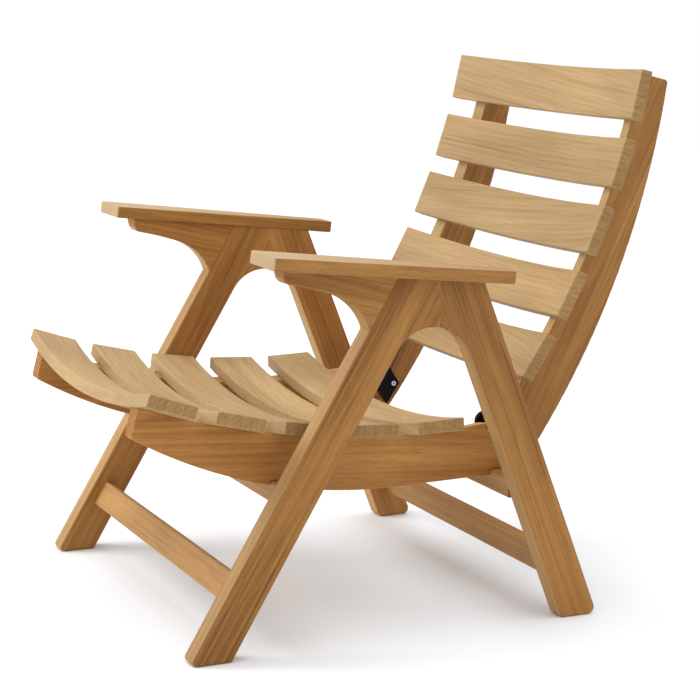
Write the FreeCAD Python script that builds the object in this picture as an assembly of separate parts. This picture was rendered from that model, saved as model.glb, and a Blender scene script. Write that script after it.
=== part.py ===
import FreeCAD, Part
import math
import os

# Folding garden deck chair in oiled teak.  Millimetres, +Z up, the chair faces -Y,
# the sitter's left hand is on +X.  The origin is on the floor, under the middle of the chair.

# --- driving dimensions -------------------------------------------------------------
LEG_OUTER_X = 330.0          # outer face of each A-shaped side
LEG_THICK = 33.0
FRONT_LEG_LEAN = 31.0        # degrees from upright, leaning back
FRONT_LEG_WIDTH = 52.8
FRONT_FOOT_Y = -362.0        # front bottom corner of the front foot
REAR_LEG_LEAN = 20.75        # degrees from upright, leaning forward
REAR_LEG_WIDTH = 55.5
REAR_FOOT_Y = 201.0          # front bottom corner of the rear foot
SEAM_Y = 5.0                 # upright glue line between front and rear leg
ARCH_RADIUS = 60.0           # rounded crotch under the arm

ARM_SLOPE = 6.55             # degrees, falling to the back
ARM_UNDERSIDE_Z = 501.5      # height of the underside above the origin
ARM_THICK = 18.0
ARM_FRONT_Y = -255.5
ARM_REAR_Y = 113.5
ARM_INNER_FRONT = 286.8
ARM_INNER_REAR = 298.0
ARM_OUTER_FRONT = 376.5
ARM_OUTER_REAR = 344.0

STRETCHER_THICK = 20.0
FRONT_CROSS_DEPTH = 24.0     # cross rails stand upright under the seat rails
REAR_CROSS_DEPTH = 30.0
TENON_LENGTH = 18.0
TENON_THICK = 10.0

RAIL_OUTER_X = 245.0         # seat and back rails share one plane on each side
RAIL_THICK = 27.0
CURVE_RADIUS = 1140.0        # sitting curve, measured at the slat ends
SEAT_CENTRE = (4.0, 1435.0)  # centre of the seat curve in (Y, Z)
BACK_CENTRE = (-776.2, 1003.0)
SEAT_BELLY_CENTRE = (-40.3, 895.4)
SEAT_BELLY_RADIUS = 700.3
BACK_SPINE_CENTRE = (-799.0, 938.5)
BACK_SPINE_RADIUS = 1223.0

SLAT_HALF_LENGTH = 285.2
SLAT_WIDTH = 71.5
SLAT_THICK = 18.0
SLAT_DISH = 29.5             # how far the middle of a slat lies below its ends
SLAT_COUNT = 5
SLAT_PITCH = 99.3            # along the sitting curve
SEAT_SLAT_START_Y = -394.2   # front edge of the first seat slat
BACK_SLAT_START_Z = 774.8    # top edge of the first back slat

PIVOT_Y = 133.5
PIVOT_Z = 271.5
PLATE_THICK = 3.0
PLATE_LOBE = 14.5
PIN_DIAMETER = 8.0
SCREW_HEAD = 8.6
HEEL_ROOM = 12.0             # hollow in the end of the seat rail round the pivot
EDGE = 3.5                   # softened arris on the side frames
RAIL_EDGE = 2.0

V = FreeCAD.Vector
PIVOT = (PIVOT_Y, PIVOT_Z)
TAN_FRONT = math.tan(math.radians(FRONT_LEG_LEAN))
TAN_REAR = math.tan(math.radians(REAR_LEG_LEAN))
TAN_ARM = math.tan(math.radians(ARM_SLOPE))
LEG_INNER_X = LEG_OUTER_X - LEG_THICK
RAIL_INNER_X = RAIL_OUTER_X - RAIL_THICK


# --- small helpers ------------------------------------------------------------------
def save(shape, name):
    shape.exportStep("parts/" + name + ".step")


def mirrored(shape):
    return shape.mirror(V(0, 0, 0), V(1, 0, 0))


def save_pair(shape, name):
    save(shape, "left_" + name)
    save(mirrored(shape), "right_" + name)


def outline(steps):
    """Closed wire in the YZ plane.  A step is (y, z) for a straight run to that point,
    or ((ym, zm), (y, z)) for an arc through the first point to the second."""
    start = steps[0]
    here = V(0, start[0], start[1])
    edges = []
    for step in steps[1:] + [start]:
        if isinstance(step[0], tuple):
            middle = V(0, step[0][0], step[0][1])
            there = V(0, step[1][0], step[1][1])
            edges.append(Part.Arc(here, middle, there).toShape())
        else:
            there = V(0, step[0], step[1])
            if there.distanceToPoint(here) > 1e-6:
                edges.append(Part.LineSegment(here, there).toShape())
        here = there
    return Part.Wire(edges)


def board(steps, x_low, x_high):
    face = Part.Face(outline(steps))
    face.translate(V(x_low, 0, 0))
    return face.extrude(V(x_high - x_low, 0, 0))


def disc(centre, radius, x_low, x_high):
    return Part.makeCylinder(radius, x_high - x_low, V(x_low, centre[0], centre[1]), V(1, 0, 0))


def in_face_plane(edge, planes):
    """True when the whole edge lies in one of the given X planes."""
    box = edge.BoundBox
    flat = box.XMax - box.XMin < 1e-4
    return flat and any(abs(box.XMin - x) < 1e-3 for x in planes)


def touches_line(edge, a, b):
    """True when both ends and the middle of an edge lie on the line a-b in YZ."""
    length = math.hypot(b[0] - a[0], b[1] - a[1])
    probes = [edge.valueAt(edge.FirstParameter), edge.valueAt(edge.LastParameter)]
    probes.append(edge.valueAt((edge.FirstParameter + edge.LastParameter) / 2))
    for p in probes:
        off = ((p.y - a[0]) * (b[1] - a[1]) - (p.z - a[1]) * (b[0] - a[0])) / length
        if abs(off) > 0.01:
            return False
    return True


def soften(shape, radius, planes, joints=()):
    """Round the perimeter edges of a board, leaving the edges of glued joints sharp."""
    chosen = []
    for edge in shape.Edges:
        if not in_face_plane(edge, planes):
            continue
        if any(touches_line(edge, a, b) for a, b in joints):
            continue
        chosen.append(edge)
    return shape.makeFillet(radius, chosen)


def arm_underside(y):
    return ARM_UNDERSIDE_Z - y * TAN_ARM


def on_arm(offset, tangent):
    """Point where a leg edge (y = offset + tangent * z) meets the arm underside."""
    z = (ARM_UNDERSIDE_Z - offset * TAN_ARM) / (1 + tangent * TAN_ARM)
    return (offset + tangent * z, z)


# --- side frames --------------------------------------------------------------------
front_back_edge = FRONT_FOOT_Y + FRONT_LEG_WIDTH / math.cos(math.radians(FRONT_LEG_LEAN))
rear_back_edge = REAR_FOOT_Y + REAR_LEG_WIDTH / math.cos(math.radians(REAR_LEG_LEAN))

apex_z = (REAR_FOOT_Y - front_back_edge) / (TAN_FRONT + TAN_REAR)
apex = (front_back_edge + TAN_FRONT * apex_z, apex_z)
half_angle = math.radians((FRONT_LEG_LEAN + REAR_LEG_LEAN) / 2)
up_front = (math.sin(math.radians(FRONT_LEG_LEAN)), math.cos(math.radians(FRONT_LEG_LEAN)))
up_rear = (-math.sin(math.radians(REAR_LEG_LEAN)), math.cos(math.radians(REAR_LEG_LEAN)))
run = ARCH_RADIUS / math.tan(half_angle)
arch_front = (apex[0] - up_front[0] * run, apex[1] - up_front[1] * run)
arch_rear = (apex[0] - up_rear[0] * run, apex[1] - up_rear[1] * run)
tilt = math.radians((FRONT_LEG_LEAN - REAR_LEG_LEAN) / 2)
reach = ARCH_RADIUS / math.sin(half_angle)
arch_centre = (apex[0] - math.sin(tilt) * reach, apex[1] - math.cos(tilt) * reach)


def on_arch(y):
    return (y, arch_centre[1] + math.sqrt(ARCH_RADIUS ** 2 - (y - arch_centre[0]) ** 2))


seam_low = on_arch(SEAM_Y)
seam_high = (SEAM_Y, arm_underside(SEAM_Y))
bracket_top = on_arm(FRONT_FOOT_Y, TAN_FRONT)
rear_top = on_arm(rear_back_edge, -TAN_REAR)
BRACKET_HEEL_Z = 436.0
bracket_heel = (FRONT_FOOT_Y + BRACKET_HEEL_Z * TAN_FRONT, BRACKET_HEEL_Z)


def round_corner(corner, before, after, radius):
    """Tangent arc in place of a corner: start point, middle point and end point."""
    def unit(target):
        d = math.hypot(target[0] - corner[0], target[1] - corner[1])
        return ((target[0] - corner[0]) / d, (target[1] - corner[1]) / d)
    u = unit(before)
    w = unit(after)
    half = math.acos(u[0] * w[0] + u[1] * w[1]) / 2
    length = radius / math.tan(half)
    size = math.hypot(u[0] + w[0], u[1] + w[1])
    inward = ((u[0] + w[0]) / size, (u[1] + w[1]) / size)
    depth = radius / math.sin(half) - radius
    start = (corner[0] + u[0] * length, corner[1] + u[1] * length)
    middle = (corner[0] + inward[0] * depth, corner[1] + inward[1] * depth)
    end = (corner[0] + w[0] * length, corner[1] + w[1] * length)
    return start, middle, end


f_in, f_bulge, f_out = round_corner((FRONT_FOOT_Y, 0), bracket_heel, (front_back_edge, 0), 7)
g_in, g_bulge, g_out = round_corner((front_back_edge, 0), (FRONT_FOOT_Y, 0), arch_front, 6)
front_leg_steps = [
    f_in, (f_bulge, f_out), g_in, (g_bulge, g_out), arch_front,
    (on_arch((arch_front[0] + SEAM_Y) / 2), seam_low), seam_high, bracket_top,
]
front_leg = board(front_leg_steps, LEG_INNER_X, LEG_OUTER_X)
front_joints = [(seam_low, seam_high), (seam_high, bracket_top)]
front_leg = soften(front_leg, EDGE, (LEG_INNER_X, LEG_OUTER_X), front_joints)

r_in, r_bulge, r_out = round_corner((REAR_FOOT_Y, 0), arch_rear, (rear_back_edge, 0), 9)
s_in, s_bulge, s_out = round_corner((rear_back_edge, 0), (REAR_FOOT_Y, 0), rear_top, 10)
rear_leg_steps = [
    r_in, (r_bulge, r_out), s_in, (s_bulge, s_out), rear_top, seam_high, seam_low,
    (on_arch((arch_rear[0] + SEAM_Y) / 2), arch_rear),
]
rear_leg = board(rear_leg_steps, LEG_INNER_X, LEG_OUTER_X)
rear_joints = [(seam_low, seam_high), (rear_top, seam_high)]
rear_leg = soften(rear_leg, EDGE, (LEG_INNER_X, LEG_OUTER_X), rear_joints)

nose_top = (-226.5, arm_underside(-226.5))
bracket_steps = [
    nose_top, (-224.0, 515.0), ((-220.8, 508.6), (-214.0, 505.0)),
    ((-183.0, 497.4), (-150.0, 487.0)), ((-117.3, 466.0), bracket_heel), bracket_top,
]
bracket = board(bracket_steps, LEG_INNER_X, LEG_OUTER_X)
bracket_joints = [(bracket_heel, bracket_top), (bracket_top, nose_top)]
bracket = soften(bracket, EDGE, (LEG_INNER_X, LEG_OUTER_X), bracket_joints)


# --- armrests -----------------------------------------------------------------------
def armrest():
    length = (ARM_REAR_Y - ARM_FRONT_Y) / math.cos(math.radians(ARM_SLOPE))
    corners = [
        V(ARM_INNER_FRONT, 0, 0), V(ARM_OUTER_FRONT, 0, 0),
        V(ARM_OUTER_REAR, length, 0), V(ARM_INNER_REAR, length, 0),
    ]
    face = Part.Face(Part.makePolygon(corners + [corners[0]]))
    plank = face.extrude(V(0, 0, ARM_THICK))
    upright = [e for e in plank.Edges if abs(e.BoundBox.ZLength - ARM_THICK) < 1e-3]
    plank = plank.makeFillet(4.5, upright)
    rims = [e for e in plank.Edges if e.BoundBox.ZLength < 1e-3]
    plank = plank.makeFillet(2.5, rims)
    plank.rotate(V(0, 0, 0), V(1, 0, 0), -ARM_SLOPE)
    plank.translate(V(0, ARM_FRONT_Y, arm_underside(ARM_FRONT_Y)))
    return plank


arm = armrest()


# --- stretchers and cross rails -----------------------------------------------------
def crossbar(base, lean, height, thick):
    """Bar between the two sides with a tenon at each end.  base is the lower front corner
    in (Y, Z); positive lean tips the top to the back."""
    half_span = LEG_INNER_X
    body = Part.makeBox(2 * half_span, thick, height, V(-half_span, 0, 0))
    long_edges = [e for e in body.Edges if e.BoundBox.XLength > half_span]
    body = body.makeFillet(2.5, long_edges)
    tenons = []
    margin = 6.0
    inset = (thick - TENON_THICK) / 2
    for side in (-1, 1):
        low = half_span - 1.0 if side > 0 else -half_span - TENON_LENGTH
        tongue = Part.makeBox(TENON_LENGTH + 1.0, TENON_THICK, height - 2 * margin,
                              V(low, inset, margin))
        tenons.append(tongue)
    shape = body.fuse(tenons).removeSplitter()
    shape.rotate(V(0, 0, 0), V(1, 0, 0), -lean)
    shape.translate(V(0, base[0], base[1]))
    return shape


CROSS_TOP_Z = 206.0          # the seat rails sit on the rear cross rail at this height
CROSS_FRONT_Y = 129.6        # front face of the rear cross rail
FRONT_CROSS_TOP_Z = 222.0
FRONT_CROSS_Y = -210.0       # front face of the front cross rail
front_stretcher = crossbar((-299.4, 74.0), FRONT_LEG_LEAN, 40.0, STRETCHER_THICK)
rear_stretcher = crossbar((214.8, 41.8), -REAR_LEG_LEAN, 45.0, STRETCHER_THICK)
front_cross_rail = crossbar((FRONT_CROSS_Y, FRONT_CROSS_TOP_Z - 30.7), 0.0, 30.7,
                            FRONT_CROSS_DEPTH)
rear_cross_rail = crossbar((CROSS_FRONT_Y, 176.0), 0.0, CROSS_TOP_Z - 176.0, REAR_CROSS_DEPTH)

for bar in (front_stretcher, front_cross_rail):
    front_leg = front_leg.cut(bar)
for bar in (rear_stretcher, rear_cross_rail):
    rear_leg = rear_leg.cut(bar)


# --- slats --------------------------------------------------------------------------
def slat():
    """Dished slat lying flat: top of the ends at z = 0, width along +Y, middle of the
    width at y = 0, long edges parallel to X."""
    e = SLAT_HALF_LENGTH
    t = SLAT_THICK
    radius = (e * e + SLAT_DISH ** 2) / (2 * SLAT_DISH)
    sag = radius + t - math.sqrt((radius + t) ** 2 - e * e)
    top = Part.Arc(V(-e, 0, 0), V(0, 0, -SLAT_DISH), V(e, 0, 0)).toShape()
    right = Part.LineSegment(V(e, 0, 0), V(e, 0, sag - SLAT_DISH - t)).toShape()
    low = Part.Arc(V(e, 0, sag - SLAT_DISH - t), V(0, 0, -SLAT_DISH - t),
                   V(-e, 0, sag - SLAT_DISH - t)).toShape()
    left = Part.LineSegment(V(-e, 0, sag - SLAT_DISH - t), V(-e, 0, 0)).toShape()
    face = Part.Face(Part.Wire([top, right, low, left]))
    solid = face.extrude(V(0, SLAT_WIDTH, 0))
    solid.translate(V(0, -SLAT_WIDTH / 2, 0))
    return solid.makeFillet(2.0, solid.Edges)


def seat_slat(index):
    start = math.asin((SEAT_SLAT_START_Y - SEAT_CENTRE[0]) / CURVE_RADIUS)
    angle = start + (SLAT_WIDTH / 2 + index * SLAT_PITCH) / CURVE_RADIUS
    piece = slat()
    piece.rotate(V(0, 0, 0), V(1, 0, 0), math.degrees(angle))
    piece.translate(V(0, SEAT_CENTRE[0] + CURVE_RADIUS * math.sin(angle),
                      SEAT_CENTRE[1] - CURVE_RADIUS * math.cos(angle)))
    return piece


def back_slat(index):
    start = math.asin((BACK_SLAT_START_Z - BACK_CENTRE[1]) / CURVE_RADIUS)
    angle = start - (SLAT_WIDTH / 2 + index * SLAT_PITCH) / CURVE_RADIUS
    piece = slat()
    piece.rotate(V(0, 0, 0), V(1, 0, 0), 90 + math.degrees(angle))
    piece.translate(V(0, BACK_CENTRE[0] + CURVE_RADIUS * math.cos(angle),
                      BACK_CENTRE[1] + CURVE_RADIUS * math.sin(angle)))
    return piece


seat_slats = [seat_slat(i) for i in range(SLAT_COUNT)]
back_slats = [back_slat(i) for i in range(SLAT_COUNT)]


# --- curved rails -------------------------------------------------------------------
def dish_at(x):
    return SLAT_DISH * (1 - (x / SLAT_HALF_LENGTH) ** 2)


# The slats rest on these radii; the rails are bevelled to suit the dished slats.
REST_OUTER = CURVE_RADIUS + SLAT_THICK + dish_at(RAIL_OUTER_X) - 0.2
REST_INNER = CURVE_RADIUS + SLAT_THICK + dish_at(RAIL_INNER_X) - 0.2


def bevel_cutter(centre):
    """Everything inside the cone on which the slats rest."""
    slope = (REST_INNER - REST_OUTER) / RAIL_THICK
    pts = [
        V(RAIL_OUTER_X + 2, centre[0], centre[1] - 900),
        V(RAIL_INNER_X - 2, centre[0], centre[1] - 900),
        V(RAIL_INNER_X - 2, centre[0], centre[1] - REST_INNER - 2 * slope),
        V(RAIL_OUTER_X + 2, centre[0], centre[1] - REST_OUTER + 2 * slope),
    ]
    face = Part.Face(Part.makePolygon(pts + [pts[0]]))
    return face.revolve(V(0, centre[0], centre[1]), V(1, 0, 0), 360)


def circle_y(centre, radius, z):
    return centre[0] + math.sqrt(radius ** 2 - (z - centre[1]) ** 2)


def circle_z(centre, radius, y):
    return centre[1] - math.sqrt(radius ** 2 - (y - centre[0]) ** 2)


SEAT_TOP_RADIUS = REST_OUTER - 6.0
MITRE_FOOT = (166.0, CROSS_TOP_Z)
MITRE_TOP = (127.6, 284.0)   # the end faces of the rails run through the hinge pivot
JOINT_GAP = 0.4
SEAT_NOSE_Y = -397.2
seat_nose_top = (SEAT_NOSE_Y, circle_z(SEAT_CENTRE, SEAT_TOP_RADIUS, SEAT_NOSE_Y))
seat_nose_low = (-409.8, circle_z(SEAT_BELLY_CENTRE, SEAT_BELLY_RADIUS, -409.8) - 1.6)
belly_low = (SEAT_BELLY_CENTRE[0], SEAT_BELLY_CENTRE[1] - SEAT_BELLY_RADIUS)


def seat_rail():
    n_in, n_bulge, n_out = round_corner(
        seat_nose_low, seat_nose_top,
        (-395.0, circle_z(SEAT_BELLY_CENTRE, SEAT_BELLY_RADIUS, -395.0) - 1.4), 6)
    belly_mid_y = (n_out[0] + belly_low[0]) / 2
    belly_mid = (belly_mid_y, circle_z(SEAT_BELLY_CENTRE, SEAT_BELLY_RADIUS, belly_mid_y))
    top_mid = (-130.0, circle_z(SEAT_CENTRE, SEAT_TOP_RADIUS, -130.0))
    steps = [
        n_in, (n_bulge, n_out), (belly_mid, belly_low),
        (CROSS_FRONT_Y, 198.0), (CROSS_FRONT_Y, CROSS_TOP_Z),
        (MITRE_FOOT[0] - JOINT_GAP, MITRE_FOOT[1]),
        (MITRE_TOP[0] - JOINT_GAP, MITRE_TOP[1]),
        (110.0, circle_z(SEAT_CENTRE, SEAT_TOP_RADIUS, 110.0)),
        (top_mid, seat_nose_top),
    ]
    rail = board(steps, RAIL_INNER_X, RAIL_OUTER_X)
    rail = rail.cut(bevel_cutter(SEAT_CENTRE))
    rail = rail.cut(disc(PIVOT, HEEL_ROOM, RAIL_INNER_X - 1, RAIL_OUTER_X + 1))
    notch = Part.makeBox(60, FRONT_CROSS_DEPTH, 60,
                         V(RAIL_INNER_X - 10, FRONT_CROSS_Y, FRONT_CROSS_TOP_Z - 60))
    return rail.cut(notch)


def back_rail():
    top_front = (circle_y(BACK_CENTRE, REST_OUTER - 6, 768.0), 768.0)
    top_rear = (409.9, 755.5)
    t_in, t_bulge, t_out = round_corner(
        top_rear, top_front, (circle_y(BACK_SPINE_CENTRE, BACK_SPINE_RADIUS, 740), 740), 5)
    tail = (circle_y(BACK_SPINE_CENTRE, BACK_SPINE_RADIUS, MITRE_FOOT[1]), MITRE_FOOT[1])
    spine_mid = (circle_y(BACK_SPINE_CENTRE, BACK_SPINE_RADIUS, 480), 480.0)
    front_mid = (circle_y(BACK_CENTRE, REST_OUTER - 6, 500.0), 500.0)
    front_low = (circle_y(BACK_CENTRE, REST_OUTER - 6, 286.0), 286.0)
    steps = [
        MITRE_TOP, MITRE_FOOT, tail, (spine_mid, t_out), (t_bulge, t_in), top_front,
        (front_mid, front_low),
    ]
    rail = board(steps, RAIL_INNER_X, RAIL_OUTER_X)
    rail = rail.cut(bevel_cutter(BACK_CENTRE))
    return rail


def long_rim(shape, radius):
    """Round every edge lying in the two faces of a rail."""
    chosen = []
    for edge in shape.Edges:
        if in_face_plane(edge, (RAIL_INNER_X, RAIL_OUTER_X)):
            chosen.append(edge)
    return shape.makeFillet(radius, chosen)


left_seat_rail = long_rim(seat_rail(), RAIL_EDGE)
left_back_rail = long_rim(back_rail(), RAIL_EDGE)


# --- hinges -------------------------------------------------------------------------
def plate(points, x_low, x_high, corner=0.0):
    solid = board(points, x_low, x_high)
    if corner:
        thickness = x_high - x_low
        upright = [e for e in solid.Edges if abs(e.BoundBox.XLength - thickness) < 1e-3]
        solid = solid.makeFillet(corner, upright)
    return solid


LAYER_LOW = RAIL_INNER_X - PLATE_THICK                 # plates that lie on the timber
LOBE_HIGH = LAYER_LOW - 0.3                            # lobe of the back leaf, cranked inward
LOBE_LOW = LOBE_HIGH - PLATE_THICK
RUNNING = 0.05                                         # radial clearance on the pin

seat_leaf_points = [(66.0, 255.0), (66.0, 224.0), (153.0, 213.5), (PIVOT_Y + 8.0, 262.0),
                    (PIVOT_Y - 8.0, 272.0), (PIVOT_Y - 12.5, 264.0), (110.0, 256.0)]
SEAT_SCREWS = [(79.0, 240.0), (106.0, 238.0), (134.0, 234.0)]
BACK_SCREWS = [(187.8, 246.0), (166.0, 284.0), (160.0, 248.0)]
BACK_LEAF_LOW = (176.5, 212.0)
BACK_LEAF_REAR = (198.3, 246.0)
BACK_LEAF_TOP = (167.0, 296.0)


def seat_leaf():
    flat = plate(seat_leaf_points, LAYER_LOW, RAIL_INNER_X)
    flat = flat.fuse(disc(PIVOT, PLATE_LOBE, LAYER_LOW, RAIL_INNER_X)).removeSplitter()
    return flat.cut(disc(PIVOT, PIN_DIAMETER / 2, LAYER_LOW - 1, RAIL_INNER_X + 1))


def back_leaf():
    near_low = (PIVOT_Y + 12.0, PIVOT_Z - 13.0)
    near_top = (PIVOT_Y + 12.0, PIVOT_Z + 10.0)
    flat = plate([near_low, BACK_LEAF_LOW, BACK_LEAF_REAR, BACK_LEAF_TOP, near_top],
                 LAYER_LOW, RAIL_INNER_X, 2.5)
    flat = flat.cut(disc(PIVOT, PLATE_LOBE + 2.0, LAYER_LOW - 1, RAIL_INNER_X + 1))
    crank_low = (PIVOT_Y + 17.0, PIVOT_Z - 21.0)
    crank_top = (PIVOT_Y + 24.0, PIVOT_Z + 16.0)
    fan = [near_top, (PIVOT_Y, PIVOT_Z), near_low, crank_low, (PIVOT_Y + 25.0, PIVOT_Z - 10.0),
           crank_top]
    crank = plate(fan, LOBE_LOW, RAIL_INNER_X)
    crank = crank.cut(disc(PIVOT, PLATE_LOBE + 2.0, LOBE_HIGH, RAIL_INNER_X + 1))
    lobe = disc(PIVOT, PLATE_LOBE, LOBE_LOW, LOBE_HIGH)
    leaf = flat.fuse([crank, lobe]).removeSplitter()
    return leaf.cut(disc(PIVOT, PIN_DIAMETER / 2 + RUNNING, LOBE_LOW - 1, RAIL_INNER_X + 1))


def hinge_pin():
    shank = disc(PIVOT, PIN_DIAMETER / 2, LOBE_LOW - 1, RAIL_INNER_X)
    head = disc(PIVOT, 7.0, LOBE_LOW - 0.3 - 2.4, LOBE_LOW - 0.3)
    rim = [e for e in head.Edges if abs(e.BoundBox.XMin - (LOBE_LOW - 2.7)) < 1e-3]
    head = head.makeFillet(1.4, [e for e in rim if e.BoundBox.XLength < 1e-3])
    return shank.fuse(head).removeSplitter()


def screw(spot):
    head = disc(spot, SCREW_HEAD / 2, LAYER_LOW - 2.6, LAYER_LOW)
    rim = [e for e in head.Edges
           if e.BoundBox.XLength < 1e-3 and abs(e.BoundBox.XMin - (LAYER_LOW - 2.6)) < 1e-3]
    head = head.makeFillet(1.3, rim)
    corners = []
    for i in range(7):
        a = math.radians(60 * i)
        corners.append(V(LAYER_LOW - 3, spot[0] + 1.75 * math.cos(a),
                         spot[1] + 1.75 * math.sin(a)))
    socket = Part.Face(Part.makePolygon(corners)).extrude(V(2.0, 0, 0))
    shank = disc(spot, 2.5, LAYER_LOW - 0.5, RAIL_INNER_X + 16)
    return head.fuse(shank).removeSplitter().cut(socket)


left_seat_leaf = seat_leaf()
left_back_leaf = back_leaf()
left_pin = hinge_pin()
seat_screws = [screw(spot) for spot in SEAT_SCREWS]
back_screws = [screw(spot) for spot in BACK_SCREWS]
for piece in seat_screws:
    left_seat_leaf = left_seat_leaf.cut(piece)
    left_seat_rail = left_seat_rail.cut(piece)
for piece in back_screws:
    left_back_leaf = left_back_leaf.cut(piece)
    left_back_rail = left_back_rail.cut(piece)

# the back rail clears the fixed lobe as it turns
left_back_rail = left_back_rail.cut(disc(PIVOT, PLATE_LOBE + 1.5, RAIL_INNER_X - 1,
                                         RAIL_INNER_X + 0.35))

# the slats are let into the rails
left_seat_rail = left_seat_rail.cut(seat_slats)
left_back_rail = left_back_rail.cut(back_slats)

os.makedirs("parts", exist_ok=True)
save_pair(front_leg, "front_leg")
save_pair(rear_leg, "rear_leg")
save_pair(bracket, "arm_bracket")
save_pair(arm, "armrest")
save(front_stretcher, "front_lower_stretcher")
save(rear_stretcher, "rear_lower_stretcher")
save(front_cross_rail, "front_cross_rail")
save(rear_cross_rail, "rear_cross_rail")
save_pair(left_seat_rail, "seat_rail")
save_pair(left_back_rail, "back_rail")
for number in range(SLAT_COUNT):
    save(seat_slats[number], "seat_slat_" + str(number + 1))
    save(back_slats[number], "back_slat_" + str(number + 1))
save_pair(left_seat_leaf, "seat_hinge_leaf")
save_pair(left_back_leaf, "back_hinge_leaf")
save_pair(left_pin, "hinge_pin")
save_pair(Part.makeCompound(seat_screws), "seat_leaf_screws")
save_pair(Part.makeCompound(back_screws), "back_leaf_screws")
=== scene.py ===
import math

import bpy
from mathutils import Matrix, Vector


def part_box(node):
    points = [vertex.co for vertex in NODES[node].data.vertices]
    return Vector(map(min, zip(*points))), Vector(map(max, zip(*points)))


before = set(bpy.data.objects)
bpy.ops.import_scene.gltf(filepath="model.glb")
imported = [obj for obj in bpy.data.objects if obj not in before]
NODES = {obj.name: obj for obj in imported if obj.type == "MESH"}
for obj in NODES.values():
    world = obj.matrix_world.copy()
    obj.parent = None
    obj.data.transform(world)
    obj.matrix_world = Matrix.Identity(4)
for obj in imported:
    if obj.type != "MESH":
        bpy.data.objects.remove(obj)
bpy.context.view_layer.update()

# Grain of each piece of the sides, degrees from +Y towards +Z in the YZ plane.
LEAN_FRONT_LEG = 59.0
LEAN_REAR_LEG = 110.75
LEAN_BRACKET = -14.0
LEAN_ARM = -6.55
LEAN_SEAT_RAIL = -4.0
LEAN_BACK_RAIL = 64.0

# The slats lie on arcs of the rails, in metres.
SEAT_ARC_Y = 0.004
BACK_ARC_Z = 1.003
SLAT_ARC_RADIUS = 1.14

# Ends of an arm along its grain, in metres.
ARM_FRONT = -0.32
ARM_REAR = 0.06


# --- small node helpers --------------------------------------------------------------
class Tree:
    """Thin wrapper that adds shader nodes to one material."""

    def __init__(self, name):
        self.material = bpy.data.materials.new(name)
        self.material.use_nodes = True
        self.tree = self.material.node_tree
        self.tree.nodes.clear()
        self.out = self.tree.nodes.new("ShaderNodeOutputMaterial")
        self.shader = self.tree.nodes.new("ShaderNodeBsdfPrincipled")
        self.link(self.shader.outputs[0], self.out.inputs["Surface"])
        self.coords = self.tree.nodes.new("ShaderNodeTexCoord")

    def link(self, a, b):
        self.tree.links.new(a, b)

    def put(self, socket, value):
        if isinstance(value, bpy.types.NodeSocket):
            self.link(value, socket)
        else:
            socket.default_value = value

    def math(self, operation, a, b=None, c=None, clamp=False):
        node = self.tree.nodes.new("ShaderNodeMath")
        node.operation = operation
        node.use_clamp = clamp
        for i, value in enumerate((a, b, c)):
            if value is not None:
                self.put(node.inputs[i], value)
        return node.outputs[0]

    def vector(self, operation, a, b=None):
        node = self.tree.nodes.new("ShaderNodeVectorMath")
        node.operation = operation
        self.put(node.inputs[0], a)
        if b is not None:
            self.put(node.inputs[1], b)
        scalar = operation in ("DOT_PRODUCT", "LENGTH")
        return node.outputs["Value" if scalar else "Vector"]

    def mapping(self, source, rotation=(0, 0, 0), scale=(1, 1, 1), location=(0, 0, 0)):
        node = self.tree.nodes.new("ShaderNodeMapping")
        self.link(source, node.inputs["Vector"])
        node.inputs["Rotation"].default_value = rotation
        node.inputs["Scale"].default_value = scale
        node.inputs["Location"].default_value = location
        return node.outputs[0]

    def noise(self, source, scale=1.0, detail=2.0, rough=0.5, distortion=0.0):
        node = self.tree.nodes.new("ShaderNodeTexNoise")
        self.link(source, node.inputs["Vector"])
        node.inputs["Scale"].default_value = scale
        node.inputs["Detail"].default_value = detail
        node.inputs["Roughness"].default_value = rough
        node.inputs["Distortion"].default_value = distortion
        return node.outputs[0]

    def ramp(self, source, low, high, out_low=0.0, out_high=1.0, smooth=True):
        node = self.tree.nodes.new("ShaderNodeMapRange")
        node.interpolation_type = "SMOOTHSTEP" if smooth else "LINEAR"
        self.put(node.inputs["Value"], source)
        node.inputs["From Min"].default_value = low
        node.inputs["From Max"].default_value = high
        node.inputs["To Min"].default_value = out_low
        node.inputs["To Max"].default_value = out_high
        return node.outputs[0]

    def mix(self, factor, a, b, blend="MIX"):
        node = self.tree.nodes.new("ShaderNodeMix")
        node.data_type = "RGBA"
        node.blend_type = blend
        self.put(node.inputs[0], factor)
        self.put(node.inputs[6], (*a, 1.0) if isinstance(a, tuple) else a)
        self.put(node.inputs[7], (*b, 1.0) if isinstance(b, tuple) else b)
        return node.outputs[2]

    def grey(self, value):
        node = self.tree.nodes.new("ShaderNodeCombineColor")
        for i in range(3):
            self.link(value, node.inputs[i])
        return node.outputs[0]

    def edge_mask(self, radius, low, high):
        """1 close to an edge of the piece, 0 on its flat parts."""
        bevel = self.tree.nodes.new("ShaderNodeBevel")
        bevel.samples = 4
        bevel.inputs["Radius"].default_value = radius
        geometry = self.tree.nodes.new("ShaderNodeNewGeometry")
        alike = self.vector("DOT_PRODUCT", bevel.outputs[0], geometry.outputs["Normal"])
        return self.ramp(alike, high, low)

    def bump(self, height, distance, strength=1.0):
        node = self.tree.nodes.new("ShaderNodeBump")
        node.inputs["Distance"].default_value = distance
        node.inputs["Strength"].default_value = strength
        self.link(height, node.inputs["Height"])
        self.link(node.outputs[0], self.shader.inputs["Normal"])


def scaled(colour, factors):
    return tuple(min(1.0, c * k) for c, k in zip(colour, factors))


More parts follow.
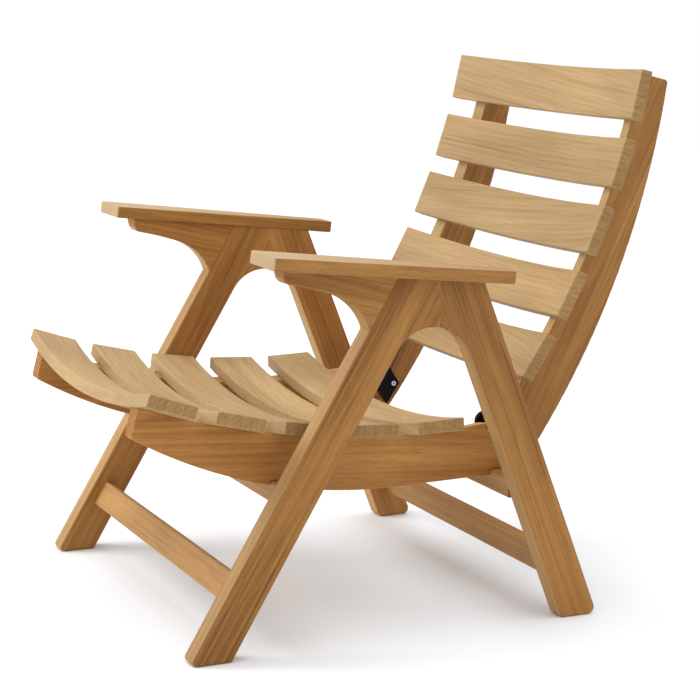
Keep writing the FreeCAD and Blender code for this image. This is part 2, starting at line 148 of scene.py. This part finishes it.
# --- teak ----------------------------------------------------------------------------
# Linear colours.  The four factors are against the light or dark colour of the board.
SLAT_LIGHT = (0.485, 0.331, 0.158)
SLAT_DARK = (0.325, 0.189, 0.073)
ARM_LIGHT = (0.41, 0.200, 0.052)
ARM_DARK = (0.24, 0.098, 0.020)
LEG_LIGHT = (0.425, 0.205, 0.054)
LEG_DARK = (0.21, 0.080, 0.016)
RAIL_LIGHT = (0.47, 0.223, 0.057)
RAIL_DARK = (0.24, 0.089, 0.017)
# Paler colours mixed onto the faces turned up or forward: painted light, and painted sheen on the
# arm tops.
PAINTED_LIT_PALE = (0.61, 0.435, 0.205)
ARM_PAINTED_SHEEN = (0.52, 0.385, 0.215)
EMBER = (0.62, 0.52, 0.42)
SAWN_LIGHT = (0.79, 0.69, 0.53)
SAWN_DARK = (0.70, 0.61, 0.48)
WORN = (1.06, 1.10, 1.18)
FIGURE_MIDDLE = 0.46

# Directions of the faces that are painted paler, as painted light.
UP = (0.0, 0.0, 1.0)
FORWARD = (0.0, -1.0, 0.0)


def grain_scale(depth):
    """Noise scale along the grain and across it, slowed by depth through the board."""
    return lambda along, across: (along, across, across * depth)


def teak(name, light, dark, turn, along, seed, ring=120.0, heart=0.05, contrast=1.0,
         tone=1.0, painted_paling=0.32, ends=0.85, depth=1.0,
         pale=PAINTED_LIT_PALE, sheen_fade=0.0):
    """Oiled teak.  turn brings the grain onto X', along is the grain direction, seed
    shifts the figure, heart is how far the pith lies below the board.  painted_paling
    is how far the faces turned up or forward are painted paler, as painted light, ends how
    dark the end grain is, and depth how fast the streaks change through the board, against
    across it.  pale is the colour of that painted light, and sheen_fade how much less of it the
    rear end of an arm has, as painted sheen."""
    t = Tree(name)
    grain = t.mapping(t.coords.outputs["Object"], rotation=turn,
                      location=(seed * 1.37, seed * 0.113, seed * 0.071))
    through = grain_scale(depth)
    wander = t.noise(t.mapping(grain, scale=through(2.4, 11.0)), 1.0, 3.0, 0.55)
    slow = t.noise(t.mapping(grain, scale=(1.1, 5.0, 5.0)), 1.0, 1.0)
    parts = t.tree.nodes.new("ShaderNodeSeparateXYZ")
    t.link(t.mapping(t.coords.outputs["Object"], rotation=turn), parts.inputs[0])
    centre = t.tree.nodes.new("ShaderNodeCombineXYZ")
    t.link(t.math("SUBTRACT", parts.outputs[1], heart * math.sin(seed * 2.1)),
           centre.inputs[1])
    t.link(t.math("ADD", parts.outputs[2], heart + 0.02 * math.cos(seed)), centre.inputs[2])
    radius = t.vector("LENGTH", centre.outputs[0])
    radius = t.math("ADD", radius, t.math("MULTIPLY", t.math("SUBTRACT", wander, 0.5), 0.045))
    radius = t.math("ADD", radius, t.math("MULTIPLY", t.math("SUBTRACT", slow, 0.5), 0.06))
    phase = t.math("FRACT", t.math("MULTIPLY", radius, ring))
    early = t.ramp(phase, 0.0, 0.82)
    late = t.ramp(phase, 0.84, 1.0, 1.0, 0.0)
    rings = t.math("MULTIPLY", early, late)

    streak = t.noise(t.mapping(grain, scale=through(2.4, 230.0)), 1.0, 4.0, 0.62)
    broad = t.noise(t.mapping(grain, scale=through(0.9, 26.0)), 1.0, 2.0, 0.5)
    pores = t.noise(t.mapping(grain, scale=(55.0, 1500.0, 1500.0)), 1.0, 2.0, 0.6)
    pore = t.ramp(pores, 0.57, 0.70)

    cloud = t.noise(t.mapping(grain, scale=through(3.0, 14.0), location=(3, 5, 1)), 1.0, 2.0, 0.5)
    figure = t.math("MULTIPLY", rings, 0.20)
    figure = t.math("ADD", figure, t.math("MULTIPLY", t.ramp(streak, 0.34, 0.68), 0.38))
    figure = t.math("ADD", figure, t.math("MULTIPLY", t.ramp(broad, 0.38, 0.66), 0.30))
    figure = t.math("ADD", figure, t.math("MULTIPLY", t.ramp(cloud, 0.36, 0.66), 0.30))
    figure = t.math("SUBTRACT", figure, 0.12)
    figure = t.math("MULTIPLY", t.math("SUBTRACT", figure, FIGURE_MIDDLE), contrast)
    figure = t.math("ADD", figure, FIGURE_MIDDLE, clamp=True)
    colour = t.mix(figure, light, dark)
    ember = scaled(dark, EMBER)
    line = t.math("MULTIPLY", t.ramp(broad, 0.54, 0.70), t.ramp(streak, 0.50, 0.64))
    colour = t.mix(t.math("MULTIPLY", line, 0.48 * contrast), colour, ember)
    vein = t.noise(t.mapping(grain, scale=through(0.6, 75.0), location=(7, 3, 2)),
                   1.0, 2.0, 0.5, 0.2)
    dark_vein = t.math("MULTIPLY", t.ramp(vein, 0.61, 0.72), 0.42 * contrast)
    colour = t.mix(dark_vein, colour, ember)
    colour = t.mix(t.math("MULTIPLY", pore, 0.42), colour, ember)
    normal = t.coords.outputs["Normal"]
    # Painted light: faces turned up or forward are mixed towards a paler colour, as if lit from
    # above and the front.
    up = t.ramp(t.vector("DOT_PRODUCT", normal, UP), 0.55, 0.95)
    front = t.ramp(t.vector("DOT_PRODUCT", normal, FORWARD), 0.45, 0.90)
    painted_lit_mask = t.math("MULTIPLY", t.math("MAXIMUM", up, front), painted_paling)
    # Painted sheen: on the arm tops the paling grows weaker from the front end to the rear end.
    front_sheen = t.ramp(parts.outputs[0], ARM_FRONT, ARM_REAR, 1.0, 1.0 - sheen_fade, smooth=False)
    painted_lit_mask = t.math("MULTIPLY", painted_lit_mask, front_sheen)
    colour = t.mix(painted_lit_mask, colour, pale)

    facing = t.vector("DOT_PRODUCT", normal, along)
    end = t.ramp(t.math("ABSOLUTE", facing), 0.80, 0.97)
    band = t.math("ADD", t.math("MULTIPLY", t.ramp(streak, 0.3, 0.7), 0.60),
                  t.math("MULTIPLY", rings, 0.26))
    sawn = t.mix(band, scaled(light, SAWN_LIGHT), scaled(dark, SAWN_DARK))
    colour = t.mix(t.math("MULTIPLY", end, ends), colour, sawn)
    edge = t.edge_mask(0.006, 0.72, 0.97)
    worn = scaled(light, WORN)
    colour = t.mix(t.math("MULTIPLY", edge, 0.18), colour, worn)
    patches = t.noise(t.mapping(grain, scale=through(3.0, 7.0), location=(4, 2, 9)), 1.0, 2.0)
    blotch = t.ramp(patches, 0.3, 0.7, 0.93 * tone, 1.06 * tone)
    colour = t.mix(1.0, colour, t.grey(blotch), "MULTIPLY")
    t.link(colour, t.shader.inputs["Base Color"])
    rough = t.ramp(streak, 0.25, 0.75, 0.50, 0.66, smooth=False)
    rough = t.math("ADD", rough, t.math("MULTIPLY", end, 0.16))
    t.link(rough, t.shader.inputs["Roughness"])
    t.shader.inputs["Specular IOR Level"].default_value = 0.22
    height = t.math("ADD", t.math("MULTIPLY", streak, 0.55), t.math("MULTIPLY", rings, 0.25))
    height = t.math("SUBTRACT", height, t.math("MULTIPLY", pore, 0.6))
    t.bump(height, 0.00035, 0.55)
    return t.material


def turn_yz(angle):
    """Mapping rotation and direction for grain that lies in the YZ plane."""
    a = math.radians(angle)
    return (-a, 0.0, math.radians(-90)), (0.0, math.cos(a), math.sin(a))


def turn_x(angle, skew=0.0):
    """Mapping rotation and direction for grain along X in a board tipped by angle, with
    the grain running out of the board by skew degrees."""
    return (-math.radians(angle), 0.0, math.radians(skew)), (1.0, 0.0, 0.0)


def paint(node, material):
    obj = NODES[node]
    obj.data.materials.clear()
    obj.data.materials.append(material)


# Pieces of the right side get a higher tone than those of the left: painted light that lifts the
# shade on that side.
for index, side in enumerate(("left", "right")):
    shift = 3.1 * index
    turn, along = turn_yz(LEAN_FRONT_LEG)
    paint(side + "_front_leg", teak(side + "_front_leg_teak", LEG_LIGHT, LEG_DARK, turn, along,
                                    1.0 + shift, 95.0, 0.06, tone=1.0 + 0.12 * index))
    turn, along = turn_yz(LEAN_REAR_LEG)
    paint(side + "_rear_leg", teak(side + "_rear_leg_teak", LEG_LIGHT, LEG_DARK, turn, along,
                                   2.3 + shift, 95.0, 0.05, tone=0.98 + 0.14 * index))
    turn, along = turn_yz(LEAN_BRACKET)
    paint(side + "_arm_bracket", teak(side + "_bracket_teak", LEG_LIGHT, LEG_DARK, turn, along,
                                      3.7 + shift, 120.0, 0.05, tone=1.06 + 0.06 * index))
    # The arm tops get a strong painted sheen, paler at the front end than at the rear.
    turn, along = turn_yz(LEAN_ARM)
    paint(side + "_armrest", teak(side + "_armrest_teak", ARM_LIGHT, ARM_DARK, turn, along,
                                  4.9 + shift, 110.0, 0.08, painted_paling=0.85, ends=0.1,
                                  pale=ARM_PAINTED_SHEEN, sheen_fade=0.65))
    turn, along = turn_yz(LEAN_SEAT_RAIL)
    paint(side + "_seat_rail", teak(side + "_seat_rail_teak", RAIL_LIGHT, RAIL_DARK, turn,
                                    along, 6.2 + shift, 90.0, 0.10, tone=1.08))
    turn, along = turn_yz(LEAN_BACK_RAIL)
    paint(side + "_back_rail", teak(side + "_back_rail_teak", LEG_LIGHT, LEG_DARK, turn,
                                    along, 7.4 + shift, 90.0, 0.10, painted_paling=0.6))

for index in range(5):
    low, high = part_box("seat_slat_" + str(index + 1))
    tip = math.degrees(math.asin(((low.y + high.y) / 2 - SEAT_ARC_Y) / SLAT_ARC_RADIUS))
    turn, along = turn_x(tip, 3.5 * math.sin(2.3 * index + 0.6))
    paint("seat_slat_" + str(index + 1),
          teak("seat_slat_teak_" + str(index + 1), SLAT_LIGHT, SLAT_DARK, turn, along,
               11.0 + 1.7 * index, 130.0, 0.09, tone=1.0 + 0.04 * math.sin(index * 2.4),
               painted_paling=0.12, depth=0.15, contrast=0.8))
    low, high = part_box("back_slat_" + str(index + 1))
    tip = 90.0 + math.degrees(math.asin(((low.z + high.z) / 2 - BACK_ARC_Z) / SLAT_ARC_RADIUS))
    turn, along = turn_x(tip, 5.0 * math.sin(1.7 * index + 1.2))
    paint("back_slat_" + str(index + 1),
          teak("back_slat_teak_" + str(index + 1), SLAT_LIGHT, SLAT_DARK, turn, along,
               23.0 + 1.9 * index, 130.0, 0.09, tone=1.0 + 0.04 * math.cos(index * 1.9),
               painted_paling=0.0, depth=0.15, contrast=0.72))

for name, tip, seed in (("front_lower_stretcher", 59.0, 31.0),
                        ("rear_lower_stretcher", 110.8, 33.0),
                        ("front_cross_rail", 90.0, 35.0),
                        ("rear_cross_rail", 90.0, 37.0)):
    turn, along = turn_x(tip)
    paint(name, teak(name + "_teak", LEG_LIGHT, LEG_DARK, turn, along, seed, 110.0, 0.06,
                      tone=1.12, painted_paling=0.15))


# --- steel ---------------------------------------------------------------------------
def black_steel(name):
    t = Tree(name)
    spots = t.noise(t.mapping(t.coords.outputs["Object"], scale=(900, 900, 900)), 1.0, 3.0)
    smear = t.noise(t.mapping(t.coords.outputs["Object"], scale=(60, 90, 40)), 1.0, 3.0, 0.6, 1.0)
    edge = t.math("MULTIPLY", t.edge_mask(0.0012, 0.75, 0.98), t.ramp(spots, 0.42, 0.62))
    base = t.mix(t.ramp(smear, 0.3, 0.7), (0.002, 0.002, 0.0022), (0.004, 0.004, 0.0045))
    t.link(t.mix(t.math("MULTIPLY", edge, 0.5), base, (0.08, 0.078, 0.075)),
           t.shader.inputs["Base Color"])
    t.link(t.math("MULTIPLY", edge, 0.6), t.shader.inputs["Metallic"])
    t.link(t.ramp(smear, 0.2, 0.8, 0.34, 0.52), t.shader.inputs["Roughness"])
    t.shader.inputs["Specular IOR Level"].default_value = 0.08
    t.bump(spots, 0.00008, 0.5)
    return t.material


def bright_steel(name):
    t = Tree(name)
    brushed = t.noise(t.mapping(t.coords.outputs["Object"], scale=(2500, 300, 2500)), 1.0, 3.0)
    grime = t.noise(t.mapping(t.coords.outputs["Object"], scale=(400, 400, 400)), 1.0, 3.0)
    # Painted shade: hollows such as the screw's socket are darkened towards near black by an
    # ambient occlusion mask.
    socket_shade = t.tree.nodes.new("ShaderNodeAmbientOcclusion")
    socket_shade.samples = 8
    socket_shade.only_local = True
    socket_shade.inputs["Distance"].default_value = 0.003
    metal = t.mix(t.ramp(grime, 0.4, 0.75), (0.62, 0.62, 0.63), (0.34, 0.33, 0.32))
    t.link(t.mix(t.ramp(socket_shade.outputs["AO"], 0.45, 0.85), (0.02, 0.02, 0.02), metal),
           t.shader.inputs["Base Color"])
    t.shader.inputs["Metallic"].default_value = 1.0
    t.link(t.ramp(brushed, 0.3, 0.7, 0.22, 0.42), t.shader.inputs["Roughness"])
    t.bump(brushed, 0.00005, 0.4)
    return t.material


leaf_black = black_steel("hinge_black_steel")
pin_black = black_steel("pin_black_steel")
screw_bright = bright_steel("screw_bright_steel")
for side in ("left", "right"):
    for leaf in ("seat", "back"):
        paint(side + "_" + leaf + "_hinge_leaf", leaf_black)
        paint(side + "_" + leaf + "_leaf_screws", screw_bright)
    paint(side + "_hinge_pin", pin_black)


# --- floor, light, camera ------------------------------------------------------------
FLOOR_HALF = 90.0
FLOOR_DROP = 0.0003
CHAIR_MIDDLE = (0, 0, 0.3)
SKY_LOW = 0.40
SKY_HIGH = 1.50
SENSOR_MM = 36.0
FOCAL_PIXELS = 2130.588
FRAME_PIXELS = 700.0
CAMERA_PLACE = (2.8935, -1.2530, 0.9118)
CAMERA_AIM = (-0.90156, 0.39545, -0.17553)


def floor():
    mesh = bpy.data.meshes.new("floor")
    half = FLOOR_HALF
    mesh.from_pydata([(-half, -half, 0), (half, -half, 0), (half, half, 0), (-half, half, 0)],
                     [], [(0, 1, 2, 3)])
    obj = bpy.data.objects.new("floor", mesh)
    bpy.context.scene.collection.objects.link(obj)
    t = Tree("floor_pale")
    mottle = t.noise(t.mapping(t.coords.outputs["Object"], scale=(3, 3, 3)), 1.0, 2.0)
    t.link(t.mix(mottle, (0.89, 0.925, 0.96), (0.905, 0.94, 0.975)), t.shader.inputs["Base Color"])
    t.shader.inputs["Roughness"].default_value = 0.9
    t.shader.inputs["Specular IOR Level"].default_value = 0.1
    obj.data.materials.append(t.material)
    obj.location.z = -FLOOR_DROP


floor()


def area_light(name, place, size, power):
    data = bpy.data.lights.new(name, "AREA")
    data.energy = power
    data.shape = "RECTANGLE"
    data.size = size
    data.size_y = size
    obj = bpy.data.objects.new(name, data)
    obj.location = place
    aim = Vector(CHAIR_MIDDLE) - Vector(place)
    obj.rotation_euler = aim.to_track_quat("-Z", "Y").to_euler()
    bpy.context.scene.collection.objects.link(obj)


area_light("key", (-2.1, -3.2, 2.6), 2.4, 100.0)
area_light("top", (0.2, 0.4, 3.6), 3.0, 20.0)

# The studio's light grows towards the zenith.  What shows behind the chair is plain white.
world = bpy.data.worlds.new("studio")
bpy.context.scene.world = world
world.use_nodes = True
nodes = world.node_tree.nodes
links = world.node_tree.links
background = nodes["Background"]
sky = nodes.new("ShaderNodeTexCoord")
height = nodes.new("ShaderNodeSeparateXYZ")
glow = nodes.new("ShaderNodeMapRange")
glow.inputs["From Min"].default_value = 0.0
glow.inputs["From Max"].default_value = 1.0
glow.inputs["To Min"].default_value = SKY_LOW
glow.inputs["To Max"].default_value = SKY_HIGH
links.new(sky.outputs["Generated"], height.inputs[0])
links.new(height.outputs[2], glow.inputs["Value"])
ray = nodes.new("ShaderNodeLightPath")
shown = nodes.new("ShaderNodeMix")
links.new(ray.outputs["Is Camera Ray"], shown.inputs[0])
links.new(glow.outputs[0], shown.inputs[2])
shown.inputs[3].default_value = 1.0
links.new(shown.outputs[0], background.inputs[1])
background.inputs[0].default_value = (1.0, 1.0, 1.0, 1.0)
bpy.context.scene.view_settings.view_transform = "Standard"

camera_data = bpy.data.cameras.new("camera")
camera_data.sensor_width = SENSOR_MM
camera_data.lens = SENSOR_MM * FOCAL_PIXELS / FRAME_PIXELS
camera_data.clip_end = 300.0
camera = bpy.data.objects.new("camera", camera_data)
camera.location = CAMERA_PLACE
camera.rotation_euler = Vector(CAMERA_AIM).to_track_quat("-Z", "Y").to_euler()
bpy.context.scene.collection.objects.link(camera)
bpy.context.scene.camera = camera
